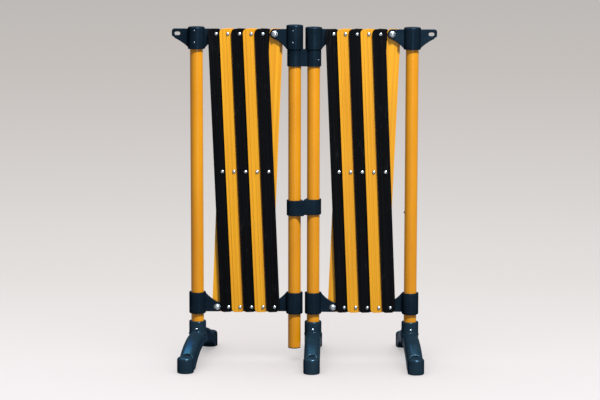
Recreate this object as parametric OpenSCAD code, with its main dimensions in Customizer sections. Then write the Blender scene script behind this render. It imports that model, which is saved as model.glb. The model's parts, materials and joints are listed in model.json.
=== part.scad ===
// Expanding lattice barrier: two scissor sections between four round posts.
// The origin is on the floor, midway between the two inner posts.
// +X runs to the right along the barrier, -Y faces the viewer and +Z is up.

/* [Posts] */
// Height of the caps on the posts with feet
overall_h = 1000; // [800:10:1200]
// Outside diameter of a post tube
tube_d = 38; // [34:1:42]
// Wall of a post tube
tube_wall = 1.5; // [1:0.1:3]
// Distance between the two inner post axes
inner_spacing = 56; // [53:1:70]
// Height of the open end of the post that has no foot
hanging_post_z = 36; // [20:1:45]

/* [Lattice] */
// Number of crosses in one section
crosses = 5; // [3:1:5]
// Distance between the end pivots of a slat
slat_span = 820; // [600:10:900]
// Distance between neighbouring pivots when folded
folded_pitch = 34.5; // [33.5:0.5:40]
// Gap between the front and the back layer of slats
layer_gap = 1.6; // [1.6:0.1:3]
// Length of a slat beyond its end pivots
slat_end = 15; // [12:1:18]
// Radius of a slat's corners
slat_corner_r = 11; // [3:1:12]

/* [Slat profile] */
// Thickness of a slat
slat_t = 10; // [8:0.5:12]
// Wall of the hollow part of a slat
slat_wall = 1.8; // [1.2:0.1:2.5]
// Width of the hollow part on the wide side of the pivot line
body_wide = 16.5; // [12:0.5:16.5]
// Width of the hollow part on the narrow side of the pivot line
body_narrow = 6.5; // [6:0.5:8]
// Width of the lip on the wide side
lip_wide = 8; // [4:0.5:8]
// Width of the lip on the narrow side
lip_narrow = 8.5; // [4:0.5:8.5]
// Thickness of both lips
lip_t = 3.5; // [2:0.5:3.5]

/* [Brackets and collars] */
// Outside diameter of a bracket or collar sleeve
sleeve_d = 50; // [46:1:52]
// Length of a sleeve
sleeve_h = 65; // [50:1:80]
// Height of a top sleeve's cap above its pivot
cap_rise = 20; // [18:1:24]
// Distance from the post axis to the arm's pivot
arm_reach = 59; // [58:1:70]
// Radius of the arm's end, and height of its straight edge
arm_end_r = 14.5; // [12:0.5:14.5]
// Extra height of the cap on the post without a foot
hanging_cap_extra = 6; // [0:0.5:10]
// Thickness of the arm and the tab
arm_t = 6; // [4:0.5:6.5]
// Distance from the post axis to the centre of the linking slot
slot_reach = 56; // [52:0.5:62]
// Length of the linking slot
slot_len = 17; // [14:1:22]
// Width of the linking slot
slot_w = 10.5; // [8:0.5:12]
// Diametral clearance of a collar on its post
collar_play = 1; // [0.5:0.1:1.5]

/* [Fasteners] */
// Diameter of a lattice rivet
rivet_d = 6; // [5:0.5:6]
// Diameter of a rivet's domed head
rivet_head_d = 11; // [8:0.5:11]
// Height of a rivet's domed head
rivet_head_h = 3.6; // [1.5:0.1:4]
// Diameter of the end bolts
bolt_d = 10; // [8:1:10]
// Width across the flats of the bolt head and nut
bolt_flats = 15.6; // [13:0.1:16]
// Diameter of the bolt washers
bolt_washer_d = 18.4; // [16:0.2:18.4]

/* [Feet] */
// Overall length of a foot
foot_len = 430; // [400:10:440]
// Width of a foot's legs
foot_w = 47; // [40:1:50]
// Height of the arch under the foot
arch_h = 50; // [40:1:50]
// Reach of the arch to each side of the post axis
arch_reach = 162; // [145:1:162]
// Diameter of the socket that holds the post
socket_d = 51; // [48:1:54]
// Height of the socket's rim above the floor
socket_top = 118; // [105:1:125]
// Diameter of a rubber pad
pad_d = 49; // [46:1:50]
// Height of a rubber pad
pad_h = 47; // [44:1:52]
// Turn of the left foot from straight across
left_foot_turn = -7.5; // [-30:0.5:30]
// Turn of the middle foot from straight across
middle_foot_turn = -0.5; // [-30:0.5:30]
// Turn of the right foot from straight across
right_foot_turn = 4; // [-30:0.5:30]

/* [Links between the inner posts] */
// Length of the double-ring coupler
coupler_h = 50; // [40:1:60]
// Outside diameter of each of its rings
coupler_ring_d = 45; // [43:1:48]
// Depth of the web between its rings
coupler_web_t = 26; // [20:1:40]
// Length of each jaw of the middle clip
clip_h = 46; // [36:1:60]
// Outside diameter of a jaw of the middle clip
clip_jaw_d = 47; // [44:1:50]
// Height of the lower edge of the middle clip
clip_z = 439; // [438:0.5:500]
// How much higher the right jaw sits than the left one
clip_step = 3.5; // [0:0.5:6]

/* [Hidden] */
$fn = 64;
over = 1;                                  // how far a cutter passes a face
fit = 0.05;                                // radial clearance of pins and posts
skin = 0.1;                                // gap between faces that turn on each other
tube_r = tube_d / 2;
fold = asin(folded_pitch / slat_span);     // lean of the folded slats
section_w = 2 * arm_reach + crosses * folded_pitch;
inner_x = inner_spacing / 2;
outer_x = inner_x + section_w;
top_z = overall_h - cap_rise;              // height of the upper pivots
low_z = top_z - slat_span * cos(fold);     // height of the lower pivots
sleeve_r = sleeve_d / 2;
cap_t = 4;
layer_in = layer_gap / 2;                  // inner face of either layer
layer_out = layer_in + slat_t;             // outer face of either layer
arm_out = layer_in + arm_t;                // outer face of an arm
washer_t = layer_gap - 2 * fit;
rivet_r = rivet_d / 2;
bolt_r = bolt_d / 2;
slot_r = slot_w / 2;
arch_r = (arch_reach * arch_reach + arch_h * arch_h) / (2 * arch_h);
socket_floor = arch_h + 4;
pad_reach = foot_len / 2 - pad_d / 2;
arm_arc_r = 100;                           // sweep of the arm's lower edge
arm_arc_lean = 22.5;
tab_arc_r = 146;                           // sweep of the tab's lower edge
tab_arc_x = slot_reach + 70;
tab_margin = 16.5;                         // from the slot's centre to the tab's end
tab_low = 10.7;
set_screw_r = 1.5;
set_screw_head_r = 2.8;
set_screw_head_h = 1.3;
set_screw_len = 9;
set_screw_lean = 12;                       // set screws sit this far round the post
set_screw_z = [10, -25];                   // heights from the upper pivot
stop_screw_r = 2;
stop_screw_len = 6;
stop_screw_z = 449;
coupler_z = top_z + cap_rise - sleeve_h - 0.5 - coupler_h;
coupler_wall = coupler_ring_d / 2 - tube_r;
coupler_screw_z = 904;
coupler_screw_turn = 42;
foot_screw_z = 95;
foot_screw_r = 2.5;
plug_flange_t = 3;
clip_mouth = 26;                           // opening at the back of a jaw
clip_web_t = 14;                           // depth of the web that joins the jaws

yellow = "#f0b01c";
black = "#14181c";
post_yellow = "#eca324";
moulding = "#16242e";
zinc = "#b4bec8";
rubber = "#1c1f22";

// [name, x, side of its lattice, has an end tab, has a stop screw]
POSTS = [
    ["left_outer", -outer_x, 1, true, false],
    ["left_inner", -inner_x, -1, false, false],
    ["right_inner", inner_x, 1, false, false],
    ["right_outer", outer_x, -1, true, true],
];
FEET = [
    ["left", -outer_x, left_foot_turn],
    ["middle", inner_x, middle_foot_turn],
    ["right", outer_x, right_foot_turn],
];
// [name, x of the first upper pivot]
SECTIONS = [["left", arm_reach - outer_x], ["right", inner_x + arm_reach]];
COUNT = [1 : crosses];

// ---- shared shapes ----

// Turns a shape drawn in X and Y, with Z as its thickness, to stand in X and Z.
// The thickness then runs from y0 towards the back.
module upright(y0, t) {
    translate([0, y0 + t, 0]) rotate([90, 0, 0]) linear_extrude(t) children();
}

// A round bar along Y from y0 to y1.
module bar_y(r, y0, y1) {
    translate([0, y1, 0]) rotate([90, 0, 0]) cylinder(r = r, h = y1 - y0);
}

// A rectangle from low to high with round corners.
module rounded(low, high, r) {
    size = high - low;
    translate(low + [r, 0]) square([size.x - 2 * r, size.y]);
    translate(low + [0, r]) square([size.x, size.y - 2 * r]);
    for (x = [low.x + r, high.x - r], y = [low.y + r, high.y - r]) translate([x, y]) circle(r);
}

// A ring between two radii.
module ring(r_out, r_in, h) {
    difference() {
        cylinder(r = r_out, h = h);
        translate([0, 0, -over]) cylinder(r = r_in, h = h + 2 * over);
    }
}

// A round boss with a rounded upper rim, from z = 0 to h.
module rimmed(r, h, rim) {
    rotate_extrude() {
        square([r - rim, h]);
        square([r, h - rim]);
        translate([r - rim, h - rim]) circle(rim, $fn = 32);
    }
}

// A screw with a low domed head, pointing along +Y, its head's seat at y = 0.
module dome_screw(r, length, head_r, head_h) {
    bar_y(r, -fit, length);
    dome_head(head_r, head_h);
}

// A domed head that stands towards -Y on the plane y = 0.
module dome_head(r, h) {
    dome_r = (r * r + h * h) / (2 * h);
    rotate([90, 0, 0]) rotate_extrude() intersection() {
        square([r, h]);
        translate([0, h - dome_r]) circle(dome_r, $fn = 96);
    }
}

// ---- posts ----

module post_tube(post) {
    footed = post[0] != "left_inner";
    z0 = footed ? socket_floor + skin : hanging_post_z + plug_flange_t;
    z1 = overall_h - cap_t - skin;
    color(post_yellow) translate([post[1], 0, 0]) difference() {
        translate([0, 0, z0]) cylinder(r = tube_r, h = z1 - z0);
        translate([0, 0, z0 - over]) cylinder(r = tube_r - tube_wall, h = z1 - z0 + 2 * over);
        for (z = set_screw_z) set_screw_axis(post, z) bar_y(set_screw_r + fit, -over, sleeve_r);
        if (post[4]) stop_screw_axis(post) bar_y(stop_screw_r + fit, -over, tube_r);
    }
}

// Puts a child that points along +Y onto a bracket set screw's axis, its seat at y = 0.
module set_screw_axis(post, z) {
    face = post[0] == "left_outer" || post[0] == "left_inner" ? 0 : 180;
    translate([0, 0, top_z + z]) rotate([0, 0, face - set_screw_lean])
        translate([0, -sleeve_r, 0]) children();
}

// The same for the screw that stops a collar, on the side that faces the lattice.
module stop_screw_axis(post) {
    translate([0, 0, stop_screw_z]) rotate([0, 0, 90 * post[2]])
        translate([0, -tube_r, 0]) children();
}

module set_screw(length) {
    dome_screw(set_screw_r, length, set_screw_head_r, set_screw_head_h);
}

module post_screws(post) {
    color(zinc) translate([post[1], 0, 0]) {
        for (z = set_screw_z) set_screw_axis(post, z) set_screw(set_screw_len);
        if (post[4]) stop_screw_axis(post) dome_screw(stop_screw_r, stop_screw_len, 4, 2.5);
        if (post[2] < 0) translate([-arm_reach, 0, top_z]) end_bolt();
        if (post[0] == "right_inner")
            translate([0, 0, coupler_screw_z]) rotate([0, 0, coupler_screw_turn])
                translate([0, -coupler_ring_d / 2, 0]) set_screw(coupler_wall - skin);
    }
}

module tube_plug() {
    edge_r = 1;
    stem_h = 18;
    color(rubber) translate([-inner_x, 0, hanging_post_z]) {
        rotate_extrude() {
            square([tube_r - edge_r, plug_flange_t]);
            translate([0, edge_r]) square([tube_r, plug_flange_t - edge_r]);
            translate([tube_r - edge_r, edge_r]) circle(edge_r, $fn = 32);
        }
        translate([0, 0, plug_flange_t]) cylinder(r = tube_r - tube_wall - fit, h = stem_h);
    }
}

// ---- brackets and collars ----

// The arm's outline, with the post axis at x = 0 and the pivot at x = arm_reach.
module arm_outline() {
    reach = arm_arc_r + arm_end_r;
    cx = arm_reach + reach * sin(arm_arc_lean);
    cy = -reach * cos(arm_arc_lean);
    touch = arm_reach + arm_end_r * sin(arm_arc_lean);
    translate([arm_reach, 0]) circle(arm_end_r);
    difference() {
        translate([0, cap_rise - sleeve_h]) square([touch, sleeve_h - cap_rise + arm_end_r]);
        translate([cx, cy]) circle(arm_arc_r, $fn = 128);
    }
}

// The end tab's outline, drawn to the same side as the arm.
module tab_outline() {
    corner = 8;
    tab_end = slot_reach + tab_margin;
    difference() {
        union() {
            rounded([slot_reach - tab_margin, -tab_low], [tab_end, arm_end_r], corner);
            translate([0, cap_rise - sleeve_h])
                square([tab_end - corner, sleeve_h - cap_rise + arm_end_r]);
        }
        translate([tab_arc_x, -tab_arc_r]) circle(tab_arc_r, $fn = 128);
        for (x = [-1, 1]) translate([slot_reach + x * (slot_len / 2 - slot_r), 0]) circle(slot_r);
        translate([slot_reach - slot_len / 2 + slot_r, -slot_r])
            square([slot_len - slot_w, slot_w]);
    }
}

// A sleeve with an arm towards +X, in the layer behind the front slats. The pivot is at
// z = 0, and the sleeve reaches from down below it to up above it.
module sleeve_and_arm(tab, down, up) {
    rim_r = 3.5;
    translate([0, 0, -down]) rimmed(sleeve_r, down + up, rim_r);
    upright(layer_in, arm_t) {
        arm_outline();
        if (tab) mirror([1, 0]) tab_outline();
    }
}

// Stands a moulding on its post. The two hands are one moulding, turned half round.
module on_post(post, z) {
    translate([post[1], 0, z]) rotate([0, 0, post[2] > 0 ? 0 : 180]) children();
}

module top_bracket(post) {
    pin_r = post[2] > 0 ? rivet_r : bolt_r;
    extra = post[0] == "left_inner" ? hanging_cap_extra : 0;
    color(moulding) difference() {
        on_post(post, top_z) sleeve_and_arm(post[3], sleeve_h - cap_rise, cap_rise + extra);
        on_post(post, top_z) translate([0, 0, -sleeve_h])
            cylinder(r = tube_r + fit, h = sleeve_h + cap_rise - cap_t);
        on_post(post, top_z) translate([arm_reach, 0, 0]) bar_y(pin_r + fit, -over, arm_out + over);
        for (z = set_screw_z) translate([post[1], 0, 0]) set_screw_axis(post, z)
            bar_y(set_screw_r + fit, -over, sleeve_r);
    }
}

module collar(post) {
    pin_r = post[2] > 0 ? bolt_r : rivet_r;
    // upside down, so the arm changes its layer as well
    color(moulding) translate([post[1], 0, low_z]) rotate([0, 0, post[2] > 0 ? 0 : 180])
        rotate([180, 0, 0]) difference() {
            sleeve_and_arm(false, sleeve_h - cap_rise, cap_rise);
            translate([0, 0, -sleeve_h]) cylinder(r = tube_r + collar_play / 2, h = 2 * sleeve_h);
            translate([arm_reach, 0, 0]) bar_y(pin_r + fit, -over, arm_out + over);
        }
}

// ---- end bolts ----

// A hex bolt with its washers and lock nut, through an arm in front of a back slat.
module end_bolt() {
    plate_t = 1.6;
    head_t = 6.4;
    nut_t = 7;
    nut_collar = 2.5;
    bolt_end = 1;
    seat = -arm_out - skin;
    head_y = seat - plate_t;
    nut_y = layer_out + skin + plate_t;
    nut_end = nut_y + nut_t + nut_collar;
    hex_r = bolt_flats / 2 / cos(30);
    // bolt: bevelled hex head and shank
    intersection() {
        translate([0, head_y, 0]) rotate([90, 0, 0]) cylinder(r = hex_r, h = head_t, $fn = 6);
        translate([0, head_y, 0]) dome_head(hex_r + 0.4, head_t + 1.2);
    }
    bar_y(bolt_r, head_y - fit, nut_end + bolt_end);
    // washer under the head
    translate([0, seat, 0]) rotate([90, 0, 0])
        ring(bolt_washer_d / 2, bolt_r + fit, plate_t - fit);
    // washer between the arm and the slat
    translate([0, washer_t / 2, 0]) rotate([90, 0, 0]) ring(arm_end_r - 5, bolt_r + fit, washer_t);
    // washer and lock nut behind the slat
    translate([0, nut_y - fit, 0]) rotate([90, 0, 0])
        ring(bolt_washer_d / 2, bolt_r + fit, plate_t - fit);
    difference() {
        union() {
            translate([0, nut_y + nut_t, 0]) rotate([90, 0, 0])
                cylinder(r = hex_r, h = nut_t, $fn = 6);
            bar_y(bolt_flats / 2 - 1, nut_y + nut_t - 1, nut_end);
        }
        bar_y(bolt_r + fit, nut_y - over, nut_end + over);
    }
}

module collar_bolt(x) {
    color(zinc) translate([x, 0, low_z]) end_bolt();
}

// ---- lattice ----

// The slat's profile, in the front layer, with the pivot line at x = 0.
module slat_profile() {
    groove_w = 1.6;
    groove_t = 0.8;
    groove_x = [-body_wide, -5, body_narrow - 3.5];
    difference() {
        union() {
            translate([-body_wide, -layer_out]) square([body_wide + body_narrow, slat_t]);
            translate([-body_wide - lip_wide, -layer_out]) square([lip_wide + over, lip_t]);
            translate([body_narrow - over, -layer_in - lip_t]) square([lip_narrow + over, lip_t]);
        }
        translate([slat_wall - body_wide, slat_wall - layer_out])
            square([body_wide + body_narrow - 2 * slat_wall, slat_t - 2 * slat_wall]);
        for (x = groove_x) translate([x - groove_w / 2, -layer_out - over])
            square([groove_w, groove_t + over]);
    }
}

// A front slat that hangs from its upper pivot at the origin.
module slat(top_r, low_r) {
    difference() {
        intersection() {
            translate([0, 0, -slat_span - slat_end]) linear_extrude(slat_span + 2 * slat_end)
                slat_profile();
            upright(-layer_out - over, slat_t + 2 * over)
                rounded([-body_wide - lip_wide, -slat_span - slat_end],
                        [body_narrow + lip_narrow, slat_end], slat_corner_r);
        }
        bar_y(top_r, -layer_out - over, 0);
        translate([0, 0, -slat_span / 2]) bar_y(rivet_r + fit, -layer_out - over, 0);
        translate([0, 0, -slat_span]) bar_y(low_r, -layer_out - over, 0);
    }
}

module front_slat(section, i) {
    color(i % 2 == 1 ? black : yellow) front_slat_place(section, i)
        slat(rivet_r + fit, rivet_r + fit);
}

module front_slat_place(section, i) {
    translate([section[1] + (i - 1) * folded_pitch, 0, top_z]) rotate([0, -fold, 0]) children();
}

// A back slat is a front slat turned half round its own length.
module back_slat(section, i) {
    top_r = i == crosses ? bolt_r : rivet_r;
    low_r = i == 1 ? bolt_r : rivet_r;
    color(i % 2 == 1 ? yellow : black)
        translate([section[1] + i * folded_pitch, 0, top_z]) rotate([0, fold, 0])
            rotate([0, 0, 180]) slat(top_r + fit, low_r + fit);
}

// A rivet with its spacing washer; back is the far face of what it holds.
module rivet(back) {
    tail_r = rivet_head_d / 2 - 0.5;
    tail_h = 1.8;
    washer_r = 7;
    translate([0, -layer_out, 0]) dome_head(rivet_head_d / 2, rivet_head_h);
    bar_y(rivet_r, -layer_out - fit, back + skin + tail_h / 2);
    translate([0, back + skin, 0]) rotate([0, 0, 180]) dome_head(tail_r, tail_h);
    translate([0, washer_t / 2, 0]) rotate([90, 0, 0]) ring(washer_r, rivet_r + fit, washer_t);
}

// The three rivets that a front slat carries.
module rivets(section, i) {
    low_back = i == crosses ? arm_out : layer_out;
    top_back = i == 1 ? arm_out : layer_out;
    color(zinc) front_slat_place(section, i) {
        rivet(top_back);
        translate([0, 0, -slat_span / 2]) rivet(layer_out);
        translate([0, 0, -slat_span]) rivet(low_back);
    }
}

// ---- links between the inner posts ----

module coupler() {
    ring_r = coupler_ring_d / 2;
    color(moulding) difference() {
        translate([0, 0, coupler_z]) {
            for (x = [-inner_x, inner_x]) translate([x, 0, 0]) cylinder(r = ring_r, h = coupler_h);
            translate([-inner_x, -coupler_web_t / 2, 0]) cube([inner_spacing, coupler_web_t, coupler_h]);
        }
        for (x = [-inner_x, inner_x]) translate([x, 0, coupler_z - over])
            cylinder(r = tube_r + fit, h = coupler_h + 2 * over);
        translate([inner_x, 0, coupler_screw_z]) rotate([0, 0, coupler_screw_turn])
            translate([0, -ring_r, 0]) bar_y(set_screw_r + fit, -over, coupler_wall + over);
    }
}

module clip_jaw(side) {
    jaw_r = clip_jaw_d / 2;
    z = clip_z + (side > 0 ? clip_step : 0);
    translate([side * inner_x, 0, z]) difference() {
        union() {
            cylinder(r = jaw_r, h = clip_h);
            translate([side > 0 ? -inner_x : 0, -jaw_r, 0]) cube([inner_x, clip_web_t, clip_h]);
        }
        translate([0, 0, -over]) cylinder(r = tube_r + fit, h = clip_h + 2 * over);
        translate([-clip_mouth / 2, 0, -over]) cube([clip_mouth, jaw_r + over, clip_h + 2 * over]);
    }
}

module middle_clip() {
    color(moulding) {
        clip_jaw(-1);
        clip_jaw(1);
    }
}

// ---- feet ----

module foot_place(foot) {
    translate([foot[1], 0, 0]) rotate([0, 0, foot[2]]) children();
}

// One leg towards +Y, before the arch is cut out from under it. Its ridge is an arc that
// bulges above the straight line from the socket to the pad.
module leg() {
    corner_r = 18;
    bulge = 9;
    from = [20, 86];
    to = [pad_reach - pad_d / 2, pad_h + 4];
    chord = norm(to - from);
    ridge_r = (chord * chord / 4 + bulge * bulge) / (2 * bulge);
    across = [from.y - to.y, to.x - from.x] / chord;
    centre = (from + to) / 2 - (ridge_r - bulge) * across;
    depth = 150;
    ground_gap = 4;
    intersection() {
        translate([0, centre.x, centre.y]) rotate([0, 90, 0]) rotate_extrude($fn = 180)
            rounded([ridge_r - depth, -foot_w / 2], [ridge_r, foot_w / 2], corner_r);
        translate([-foot_w, 0, ground_gap]) cube([2 * foot_w, pad_reach, from.y]);
    }
}

// The tongue that holds a pad in its leg; the recess for it is wider by clear all round.
module pad_tongue(clear) {
    w = 20;
    root = 36;
    z = 16;
    translate([-w / 2 - clear, pad_reach - root, z - clear])
        cube([w + 2 * clear, root - pad_d / 2 + 5, w + 2 * clear]);
}

module foot(f) {
    socket_r = socket_d / 2;
    rim_r = 2.5;
    bead_r = 2.4;
    bead_z = 78.6;
    color(moulding) foot_place(f) difference() {
        union() {
            for (turn = [0, 180]) rotate([0, 0, turn]) leg();
            rimmed(socket_r, socket_top, rim_r);
            translate([0, 0, bead_z]) rotate_extrude() translate([socket_r - bead_r / 4, 0])
                circle(bead_r, $fn = 32);
        }
        translate([-foot_w, 0, arch_h - arch_r]) rotate([0, 90, 0])
            cylinder(r = arch_r, h = 2 * foot_w, $fn = 180);
        translate([0, 0, socket_floor]) cylinder(r = tube_r + fit, h = socket_top);
        translate([0, 0, foot_screw_z]) translate([0, -socket_r, 0])
            bar_y(foot_screw_r + fit, -over, socket_r);
        for (turn = [0, 180]) rotate([0, 0, turn]) {
            translate([0, pad_reach, -over]) cylinder(r = pad_d / 2 + 0.5, h = 2 * pad_h);
            pad_tongue(skin);
        }
    }
}

module foot_pads(f) {
    pad_r = pad_d / 2;
    edge_r = 2;
    shoulder_r = 9;
    color(rubber) foot_place(f) for (turn = [0, 180]) rotate([0, 0, turn]) {
        translate([0, pad_reach, 0]) rotate_extrude() {
            square([pad_r - shoulder_r, pad_h]);
            square([pad_r - edge_r, pad_h - shoulder_r]);
            translate([0, edge_r]) square([pad_r, pad_h - shoulder_r - edge_r]);
            translate([pad_r - edge_r, edge_r]) circle(edge_r, $fn = 32);
            translate([pad_r - shoulder_r, pad_h - shoulder_r]) circle(shoulder_r);
        }
        pad_tongue(0);
    }
}

module foot_screw(f) {
    color(zinc) foot_place(f) translate([0, -socket_d / 2, foot_screw_z])
        dome_screw(foot_screw_r, socket_d / 2 - tube_r - skin, 4, 1.8);
}

// ---- the pieces ----

for (p = POSTS) {
    post_tube(p);
    top_bracket(p);
    collar(p);
    post_screws(p);
}
collar_bolt(arm_reach - outer_x);  // collar_bolt_left
collar_bolt(inner_x + arm_reach);  // collar_bolt_right
tube_plug();
coupler();
middle_clip();
for (f = FEET) {
    foot(f);
    foot_pads(f);
    foot_screw(f);
}
for (s = SECTIONS, i = COUNT) {
    front_slat(s, i);
    back_slat(s, i);
    rivets(s, i);
}
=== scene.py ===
# Looks for the expanding lattice barrier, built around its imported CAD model.
import json
import math

import bmesh
import bpy
from mathutils import Matrix, Vector

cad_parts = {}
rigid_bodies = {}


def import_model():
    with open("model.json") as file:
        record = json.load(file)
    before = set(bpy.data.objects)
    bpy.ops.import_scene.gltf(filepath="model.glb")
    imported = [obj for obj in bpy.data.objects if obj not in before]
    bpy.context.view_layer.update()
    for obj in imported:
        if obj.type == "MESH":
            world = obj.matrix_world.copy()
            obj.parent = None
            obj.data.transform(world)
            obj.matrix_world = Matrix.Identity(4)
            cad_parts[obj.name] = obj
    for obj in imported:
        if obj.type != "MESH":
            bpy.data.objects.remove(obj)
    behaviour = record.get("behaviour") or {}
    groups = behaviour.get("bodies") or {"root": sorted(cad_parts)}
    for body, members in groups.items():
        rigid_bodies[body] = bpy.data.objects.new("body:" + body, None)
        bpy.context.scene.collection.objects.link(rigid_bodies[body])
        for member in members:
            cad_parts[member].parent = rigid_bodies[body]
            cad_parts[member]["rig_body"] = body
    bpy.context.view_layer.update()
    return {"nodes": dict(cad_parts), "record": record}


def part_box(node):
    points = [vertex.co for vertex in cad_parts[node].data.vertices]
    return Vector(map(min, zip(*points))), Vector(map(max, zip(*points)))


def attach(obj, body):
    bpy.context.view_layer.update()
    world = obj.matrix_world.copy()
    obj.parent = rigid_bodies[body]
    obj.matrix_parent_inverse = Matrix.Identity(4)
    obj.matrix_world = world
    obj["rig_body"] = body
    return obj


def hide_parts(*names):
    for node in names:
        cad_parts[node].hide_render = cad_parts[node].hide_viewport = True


MM = 0.001

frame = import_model()
nodes = frame["nodes"]
body_of = {name: obj["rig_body"] for name, obj in nodes.items()}
slot_of = {part["node"]: part["material_slot"] for part in frame["record"]["subparts"]}
scene = bpy.context.scene
scene.view_settings.view_transform = "Standard"
scene.view_settings.look = "None"


# ---- camera ----

CAMERA_PLACE = Vector((0.115, -7.0, 1.56))
CAMERA_TARGET = Vector((-0.0117, 0.0, 0.4845))
CAMERA_ROLL = math.radians(0.1)
FOCAL_LENGTH = 142.7           # in millimetres, like the sensor's width
SENSOR_WIDTH = 36.0
CAMERA_REACH = 200.0           # past the floor's far corners


def add_camera():
    lens = bpy.data.cameras.new("camera")
    lens.lens = FOCAL_LENGTH
    lens.sensor_width = SENSOR_WIDTH
    lens.clip_end = CAMERA_REACH
    camera = bpy.data.objects.new("camera", lens)
    camera.location = CAMERA_PLACE
    look = (CAMERA_TARGET - CAMERA_PLACE).to_track_quat("-Z", "Y")
    camera.rotation_euler = (look.to_matrix() @ Matrix.Rotation(CAMERA_ROLL, 3, "Z")).to_euler()
    scene.collection.objects.link(camera)
    scene.camera = camera


add_camera()


# ---- material helpers: tree is the node tree of the material that is being made ----

def new_material(name):
    material = bpy.data.materials.new(name)
    material.use_nodes = True
    return material, material.node_tree, material.node_tree.nodes["Principled BSDF"]


def feed(tree, socket, value):
    """Links a socket to a value that is another node's output, and sets it to any other."""
    if isinstance(value, bpy.types.NodeSocket):
        tree.links.new(value, socket)
    else:
        socket.default_value = value


def add(tree, kind, inputs=None, **settings):
    node = tree.nodes.new(kind)
    for key, value in settings.items():
        setattr(node, key, value)
    for key, value in (inputs or {}).items():
        feed(tree, node.inputs[key], value)
    return node


def coords(tree, scale=(1, 1, 1), lean=0.0):
    """Places on the object, turned back by lean about Y and then scaled."""
    place = add(tree, "ShaderNodeTexCoord").outputs["Object"]
    if lean:
        turned = {"Vector": place, "Rotation": (0, lean, 0)}
        place = add(tree, "ShaderNodeMapping", turned).outputs["Vector"]
    return add(tree, "ShaderNodeMapping", {"Vector": place, "Scale": scale}).outputs["Vector"]


def noise(tree, place, scale, detail=3.0, rough=0.55):
    values = {"Vector": place, "Scale": scale, "Detail": detail, "Roughness": rough}
    return add(tree, "ShaderNodeTexNoise", values).outputs["Fac"]


def remap(tree, value, source, wanted):
    """Stretches the range source of a value to the range wanted, and clips it there."""
    values = {"Value": value, "From Min": source[0], "From Max": source[1]}
    values.update({"To Min": wanted[0], "To Max": wanted[1]})
    return add(tree, "ShaderNodeMapRange", values).outputs["Result"]


def maths(tree, operation, a, b):
    return add(tree, "ShaderNodeMath", {0: a, 1: b}, operation=operation).outputs["Value"]


def plus_share(tree, a, b, share):
    """a, with a share of b added to it."""
    return maths(tree, "ADD", a, maths(tree, "MULTIPLY", b, share))


def mix_colour(tree, share, a, b):
    """Goes from colour a to colour b, each a triple or another mix, as share goes from 0 to 1."""
    mix = add(tree, "ShaderNodeMix", data_type="RGBA")
    for name, value in (("Factor", share), ("A", a), ("B", b)):
        socket = next(s for s in mix.inputs if s.name == name and s.enabled)
        feed(tree, socket, (*value, 1) if isinstance(value, tuple) else value)
    return next(s for s in mix.outputs if s.enabled)


def set_inputs(tree, shader, **values):
    for key, value in values.items():
        feed(tree, shader.inputs[key.replace("_", " ")], value)


def set_bump(tree, shader, height, strength, depth):
    bump = add(tree, "ShaderNodeBump", {"Height": height, "Strength": strength, "Distance": depth})
    tree.links.new(bump.outputs["Normal"], shader.inputs["Normal"])


# ---- finishes ----

# Base colours: a surface varies between low and high, and shows worn where it is rubbed.
PAINT = {"low": (0.232, 0.089, 0.001), "high": (0.262, 0.107, 0.0012), "worn": (0.17, 0.085, 0.015)}
YELLOW = {"low": (0.247, 0.103, 0.001), "high": (0.302, 0.144, 0.0015), "worn": (0.20, 0.11, 0.015)}
BLACK = {
    "low": (0.0005, 0.0006, 0.0009),
    "high": (0.0014, 0.0015, 0.0020),
    "worn": (0.009, 0.010, 0.011),
}
MOULDING = {
    "low": (0.0032, 0.0072, 0.0124),
    "high": (0.0048, 0.0103, 0.0170),
    "worn": (0.016, 0.03, 0.045),
}
FOOT_MOULDING = {
    "low": (0.0068, 0.0160, 0.0255),
    "high": (0.0102, 0.0222, 0.0340),
    "worn": (0.02, 0.04, 0.06),
}
RUBBER = {
    "low": (0.0068, 0.0160, 0.0255),
    "high": (0.0100, 0.0212, 0.0330),
    "worn": (0.02, 0.04, 0.055),
}
ZINC = {"low": (0.25, 0.30, 0.34), "high": (0.40, 0.46, 0.51)}
DARK_STEEL = {"low": (0.035, 0.055, 0.08), "high": (0.07, 0.10, 0.135)}
SCREW_STEEL = {"low": (0.12, 0.17, 0.21), "high": (0.20, 0.26, 0.31)}
BLUISH_EDGE = (0.12, 0.2, 0.28, 1)

WHOLE = (0.0, 1.0)
MIDDLE = (0.35, 0.65)          # where most of a noise's values lie
WIDE = (0.3, 0.7)


def varied(tree, value, span, colours):
    """A base colour that goes from low to high as value goes over its span."""
    return mix_colour(tree, remap(tree, value, span, WHOLE), colours["low"], colours["high"])


def scratches(tree, stretch, scale, share, lean=0.0):
    """Fine marks along one direction, in patches: 1 in a mark, 0 outside. More share, more marks."""
    start, full = 0.74 - share, 0.78 - share
    fine = noise(tree, coords(tree, stretch, lean), scale, detail=2.0, rough=0.6)
    marked = remap(tree, fine, (start, full), WHOLE)
    patch = noise(tree, coords(tree), scale=9.0, detail=2.0, rough=0.5)
    return maths(tree, "MULTIPLY", marked, remap(tree, patch, (0.48, 0.62), WHOLE))


def rubbed(tree, colour, marks, strength, worn):
    """The colour, with worn showing through in the marks."""
    return mix_colour(tree, maths(tree, "MULTIPLY", marks, strength), colour, worn)


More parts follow.
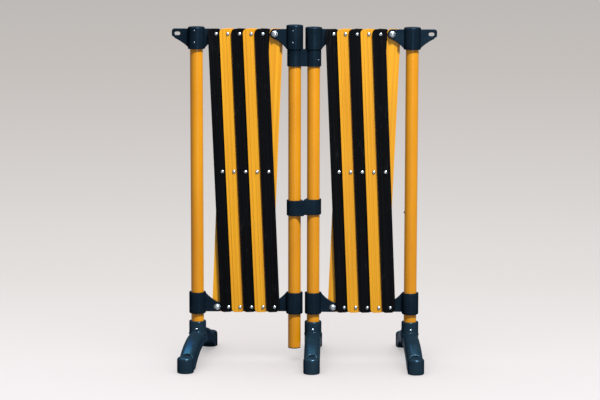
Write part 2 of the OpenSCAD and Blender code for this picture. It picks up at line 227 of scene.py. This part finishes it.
def post_paint():
    """Paint on the tubes, with slow changes of tone and faint marks along them."""
    material, tree, shader = new_material("post_paint")
    slow = noise(tree, coords(tree, (1, 1, 0.3)), scale=12.0)
    paint = varied(tree, slow, MIDDLE, PAINT)
    marks = scratches(tree, (1, 1, 0.05), scale=380.0, share=0.13)
    base = rubbed(tree, paint, marks, strength=0.35, worn=PAINT["worn"])
    gloss = remap(tree, noise(tree, coords(tree), scale=45.0), WIDE, (0.28, 0.38))
    rough = plus_share(tree, gloss, marks, share=0.2)
    set_inputs(tree, shader, Base_Color=base, Roughness=rough, Specular_IOR_Level=0.2)
    grain = noise(tree, coords(tree), scale=520.0, detail=1.0)
    set_bump(tree, shader, grain, strength=0.25, depth=0.12 * MM)
    return material


def slat_plastic(name, lean, colours, rough, specular):
    """Extruded plastic: its draw lines run along a slat that leans by lean."""
    material, tree, shader = new_material(name)
    streak = noise(tree, coords(tree, (1, 1, 0.006), lean), scale=300.0, detail=2.5, rough=0.6)
    slow = noise(tree, coords(tree, (1, 1, 0.25), lean), scale=9.0)
    tone = plus_share(tree, maths(tree, "MULTIPLY", streak, 0.7), slow, share=0.3)
    plastic = varied(tree, tone, (0.38, 0.62), colours)
    marks = scratches(tree, (1, 1, 0.1), scale=300.0, share=0.12, lean=lean)
    base = rubbed(tree, plastic, marks, strength=0.4, worn=colours["worn"])
    gloss = remap(tree, streak, MIDDLE, rough)
    set_inputs(tree, shader, Base_Color=base, Roughness=gloss, Specular_IOR_Level=specular)
    fine = noise(tree, coords(tree), scale=900.0, detail=1.0)
    lines = plus_share(tree, streak, fine, share=0.3)
    set_bump(tree, shader, lines, strength=0.35, depth=0.15 * MM)
    return material


def moulded_plastic(name, colours, rough, grain):
    """Dark moulding whose reflections are as blue as its body, also at a grazing angle."""
    material, tree, shader = new_material(name)
    slow = noise(tree, coords(tree), scale=18.0)
    plastic = varied(tree, slow, MIDDLE, colours)
    ridge = add(tree, "ShaderNodeNewGeometry").outputs["Pointiness"]
    base = mix_colour(tree, remap(tree, ridge, (0.54, 0.62), (0.0, 0.5)), plastic, colours["worn"])
    gloss = remap(tree, noise(tree, coords(tree), scale=70.0), WIDE, rough)
    set_inputs(tree, shader, Base_Color=base, Roughness=gloss, Metallic=0.6)
    set_inputs(tree, shader, Specular_IOR_Level=0.0, Specular_Tint=BLUISH_EDGE)
    cell = add(tree, "ShaderNodeTexVoronoi", {"Vector": coords(tree), "Scale": grain})
    set_bump(tree, shader, cell.outputs["Distance"], strength=0.2, depth=0.1 * MM)
    return material


def plated_steel(name, colours, rough):
    material, tree, shader = new_material(name)
    base = varied(tree, noise(tree, coords(tree), scale=160.0), MIDDLE, colours)
    gloss = remap(tree, noise(tree, coords(tree), scale=420.0), WIDE, rough)
    set_inputs(tree, shader, Base_Color=base, Roughness=gloss, Metallic=1.0)
    grain = noise(tree, coords(tree), scale=1500.0, detail=1.0)
    set_bump(tree, shader, grain, strength=0.2, depth=0.03 * MM)
    return material


RIVET_WASHER = 14 * MM


def slat_lean():
    """How far a front slat leans at rest, from the ends of its row of rivets."""
    low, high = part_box("right_rivets_3")
    across = high.x - low.x - RIVET_WASHER
    up = high.z - low.z - RIVET_WASHER
    return math.atan2(across, up)


def slat_materials(side, lean):
    yellow = slat_plastic(side + "_slat_yellow", lean, YELLOW, rough=(0.36, 0.52), specular=0.2)
    black = slat_plastic(side + "_slat_black", lean, BLACK, rough=(0.38, 0.52), specular=0.025)
    return {side + "_yellow": yellow, side + "_black": black}


LEAN = slat_lean()
SLATS = {**slat_materials("front", LEAN), **slat_materials("back", -LEAN)}
MATERIALS = {
    "post_paint": post_paint(),
    "moulding": moulded_plastic("moulding", MOULDING, rough=(0.28, 0.38), grain=1100.0),
    "foot_moulding": moulded_plastic("foot_moulding", FOOT_MOULDING, rough=(0.22, 0.31), grain=1100.0),
    "zinc": plated_steel("zinc", ZINC, rough=(0.22, 0.36)),
    "dark_steel": plated_steel("dark_steel", DARK_STEEL, rough=(0.28, 0.42)),
    "foot_screw": plated_steel("foot_screw", SCREW_STEEL, rough=(0.25, 0.38)),
    "rubber": moulded_plastic("rubber", RUBBER, rough=(0.24, 0.33), grain=1500.0),
}


def material_of(node):
    """The finish of a CAD node: a slat's depends on the way it leans, and the feet are lighter."""
    name = slot_of[node]
    if name == "moulding" and node.startswith("foot_"):
        return MATERIALS["foot_moulding"]
    if name in ("slat_yellow", "slat_black"):
        side = "front" if "_front_" in node else "back"
        return SLATS[side + name.removeprefix("slat")]
    return MATERIALS[name]


for name, obj in nodes.items():
    obj.data.materials.clear()
    obj.data.materials.append(material_of(name))


# ---- pieces that stand for CAD nodes ----

TOUCHING = 0.01 * MM           # corners that lie closer than this are one corner


def joined_mesh(node):
    """A bmesh of a CAD node, with the corners that its faces share made one."""
    bm = bmesh.new()
    bm.from_mesh(nodes[node].data)
    bmesh.ops.remove_doubles(bm, verts=bm.verts, dist=TOUCHING)
    return bm


def shade_smooth(mesh):
    mesh.polygons.foreach_set("use_smooth", [True] * len(mesh.polygons))


def stand_in(name, mesh, node, material):
    """Adds a piece with this mesh and finish in a CAD node's place."""
    mesh.materials.append(material)
    piece = bpy.data.objects.new(name, mesh)
    scene.collection.objects.link(piece)
    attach(piece, body_of[node])
    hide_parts(node)


# ---- mouldings with rounded edges ----

def rounded(mesh, voxel, rounds, keep):
    """The mesh with the edges that a mould leaves: rebuilt in voxels, softened and thinned."""
    form = bpy.data.objects.new("form", mesh)
    scene.collection.objects.link(form)
    remesh = form.modifiers.new("remesh", "REMESH")
    remesh.mode = "VOXEL"
    remesh.voxel_size = voxel
    soften = form.modifiers.new("soften", "SMOOTH")
    soften.iterations = rounds
    thin = form.modifiers.new("thin", "DECIMATE")
    thin.ratio = keep
    evaluated = form.evaluated_get(bpy.context.evaluated_depsgraph_get())
    shape = bpy.data.meshes.new_from_object(evaluated)
    bpy.data.objects.remove(form)
    return shape


def keep_inside(mesh, low, high):
    for v in mesh.vertices:
        v.co = [min(max(c, a), b) for c, a, b in zip(v.co, low, high)]


def moulded(node, voxel, rounds, keep):
    """Stands for a CAD node with the same shape, its edges rounded as a mould leaves them."""
    bm = joined_mesh(node)
    mesh = bpy.data.meshes.new(node + "_joined")
    bm.to_mesh(mesh)
    bm.free()
    shape = rounded(mesh, voxel, rounds, keep)
    keep_inside(shape, *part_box(node))
    shade_smooth(shape)
    stand_in(node + "_moulded", shape, node, material_of(node))


SMALL_MOULDINGS = ("top_bracket", "collar_left_", "collar_right_", "coupler", "middle_clip")
LARGE_MOULDINGS = ("foot_left", "foot_middle", "foot_right", "foot_pads")
for name in nodes:
    if name.startswith(SMALL_MOULDINGS):
        moulded(name, voxel=0.7 * MM, rounds=5, keep=0.3)
    if name.startswith(LARGE_MOULDINGS):
        moulded(name, voxel=1.1 * MM, rounds=8, keep=0.3)


# ---- fasteners, with softened rims ----

BOLT_MIN = 9 * MM              # anything narrower across is a small screw
RIM = 0.25 * MM
SHARP = math.radians(35)
FLAT = math.radians(0.5)


def loose_parts(bm):
    """The separate solids of a mesh, as lists of faces."""
    left = set(bm.faces)
    parts = []
    while left:
        part = {left.pop()}
        edge_of_search = set(part)
        while edge_of_search:
            face = edge_of_search.pop()
            near = {f for v in face.verts for f in v.link_faces} & left
            left -= near
            part |= near
            edge_of_search |= near
        parts.append(list(part))
    return parts


def width_of(faces):
    xs = [v.co.x for f in faces for v in f.verts]
    return max(xs) - min(xs)


def soften_rims(bm):
    bmesh.ops.dissolve_limit(bm, angle_limit=FLAT, verts=bm.verts, edges=bm.edges)
    rims = [e for e in bm.edges if e.is_manifold and e.calc_face_angle() > SHARP]
    bmesh.ops.bevel(
        bm, geom=rims, affect="EDGES", offset=RIM, segments=2, profile=0.5, clamp_overlap=True
    )


def metal_piece(node, suffix, material, narrowest=0.0, limit=math.inf):
    """Stands for those of a CAD node's solids whose width is from narrowest to under limit."""
    bm = joined_mesh(node)
    others = [part for part in loose_parts(bm) if not narrowest <= width_of(part) < limit]
    bmesh.ops.delete(bm, geom=[f for part in others for f in part], context="FACES")
    if bm.faces:
        soften_rims(bm)
        mesh = bpy.data.meshes.new(node + suffix)
        bm.to_mesh(mesh)
        shade_smooth(mesh)
        mesh.set_sharp_from_angle(angle=SHARP)
        stand_in(node + suffix, mesh, node, MATERIALS[material])
    bm.free()


for name in nodes:
    if "_rivets_" in name:
        metal_piece(name, "_plated", "zinc")
    if name.startswith("foot_screw"):
        metal_piece(name, "_plated", "foot_screw")
    if name.startswith(("post_screws", "collar_bolt")):
        metal_piece(name, "_bolts", "zinc", narrowest=BOLT_MIN)
        metal_piece(name, "_small", "dark_steel", limit=BOLT_MIN)


# ---- broken edges on the slats, which stay as the CAD made them ----

SLAT_EDGE = 0.45 * MM
SLAT_CORNER = math.radians(50)     # only sharper bends than this are broken


def broken_edges(obj):
    bevel = obj.modifiers.new("bevel", "BEVEL")
    bevel.width = SLAT_EDGE
    bevel.segments = 2
    bevel.limit_method = "ANGLE"
    bevel.angle_limit = SLAT_CORNER
    bevel.use_clamp_overlap = True


for name, obj in nodes.items():
    if "_slat_" in name:
        broken_edges(obj)


# ---- stage ----

FLOOR_SIZE = 100.0
FLOOR_PLACE = (0, 15, 0)
FLOOR_GLOW = 0.45              # share of the floor's brightness that no shadow takes away
# The floor's tone is painted darker the farther it lies along Y: painted shade for light that falls
# off with distance.
FLOOR_SPAN = (-0.5, 16.0)      # the stretch along Y over which the floor's tone changes
FLOOR_PAINTED_FALLOFF = (                # share of the way along the stretch, and the tone there
    (0.0, (0.925, 0.898, 0.915)),
    (0.11, (0.781, 0.755, 0.740)),
    (0.22, (0.737, 0.710, 0.692)),
    (0.35, (0.723, 0.687, 0.667)),
    (0.6, (0.685, 0.648, 0.622)),
    (1.0, (0.645, 0.619, 0.600)),
)


def floor_material():
    material, tree, shader = new_material("floor")
    place = add(tree, "ShaderNodeNewGeometry").outputs["Position"]
    depth = add(tree, "ShaderNodeSeparateXYZ", {"Vector": place}).outputs["Y"]
    # Painted shade: the tone darkens along Y, away from the barrier.
    ramp = add(tree, "ShaderNodeValToRGB", {"Fac": remap(tree, depth, FLOOR_SPAN, WHOLE)})
    stops = ramp.color_ramp.elements
    while len(stops) < len(FLOOR_PAINTED_FALLOFF):
        stops.new(0.5)
    for stop, (share, colour) in zip(stops, FLOOR_PAINTED_FALLOFF):
        stop.position = share
        stop.color = (*colour, 1)
    tone = ramp.outputs["Color"]
    lit = mix_colour(tree, FLOOR_GLOW, tone, (0, 0, 0))
    set_inputs(tree, shader, Base_Color=lit, Roughness=0.9, Specular_IOR_Level=0.0)
    set_inputs(tree, shader, Emission_Color=tone, Emission_Strength=FLOOR_GLOW)
    return material


def add_floor():
    bpy.ops.mesh.primitive_plane_add(size=1)
    floor = bpy.context.object
    floor.name = "floor"
    floor.scale = (FLOOR_SIZE, FLOOR_SIZE, 1)
    floor.location = FLOOR_PLACE
    floor.data.materials.append(floor_material())
    return floor


# ---- lights ----

WORLD_COLOUR = (1.0, 0.985, 0.975, 1)
WORLD_STRENGTH = 0.62
WHITE = (1, 1, 1)
COOL = (0.85, 0.94, 1)
BARRIER_MIDDLE = (0, 0, 0.5)
FLOOR_TARGET = (0, 0.2, 0)

# A light stands at its distance from its target, in its direction, and faces it.
KEY = {"direction": (0.26, -0.48, 0.93), "distance": 6.0, "size": (0.7, 0.7), "power": 1650}
BACK = {"direction": (-0.26, 0.48, 0.93), "distance": 6.0, "size": (4.0, 4.0), "power": 800}
FRONT = {"direction": (0.25, -1, 0), "distance": 4.0, "size": (0.2, 1.1), "power": 26}
HIGH = {"direction": (0.1, -0.85, 0.75), "distance": 3.2, "size": (0.2, 2.0), "power": 22}
OVERHEAD = {"direction": (0, -0.1, 1), "distance": 5.0, "size": (7.0, 7.0), "power": 170}


def add_world():
    world = bpy.data.worlds.new("studio")
    world.use_nodes = True
    background = world.node_tree.nodes["Background"]
    background.inputs["Color"].default_value = WORLD_COLOUR
    background.inputs["Strength"].default_value = WORLD_STRENGTH
    scene.world = world


def add_light(name, target, direction, distance, size, power, colour=WHITE):
    """A rectangular light, its size across and up."""
    data = bpy.data.lights.new(name, "AREA")
    data.shape = "RECTANGLE"
    data.size, data.size_y = size
    data.energy = power
    data.color = colour
    lamp = bpy.data.objects.new(name, data)
    lamp.location = Vector(target) + Vector(direction).normalized() * distance
    lamp.rotation_euler = Vector(direction).to_track_quat("Z", "Y").to_euler()
    scene.collection.objects.link(lamp)
    return lamp


def light_only(lamp, objects):
    lit = bpy.data.collections.new(lamp.name + "_lights")
    for obj in objects:
        lit.objects.link(obj)
    lamp.light_linking.receiver_collection = lit


def add_lights(floor):
    """Lights for the barrier alone, and one for the floor alone."""
    barrier = [obj for obj in scene.objects if obj.type == "MESH" and obj != floor]
    light_only(add_light("key", BARRIER_MIDDLE, **KEY), barrier)
    light_only(add_light("back", BARRIER_MIDDLE, **BACK), barrier)
    light_only(add_light("front", BARRIER_MIDDLE, **FRONT, colour=COOL), barrier)
    light_only(add_light("high", BARRIER_MIDDLE, **HIGH, colour=COOL), barrier)
    light_only(add_light("overhead", FLOOR_TARGET, **OVERHEAD), [floor])


floor = add_floor()
add_world()
add_lights(floor)
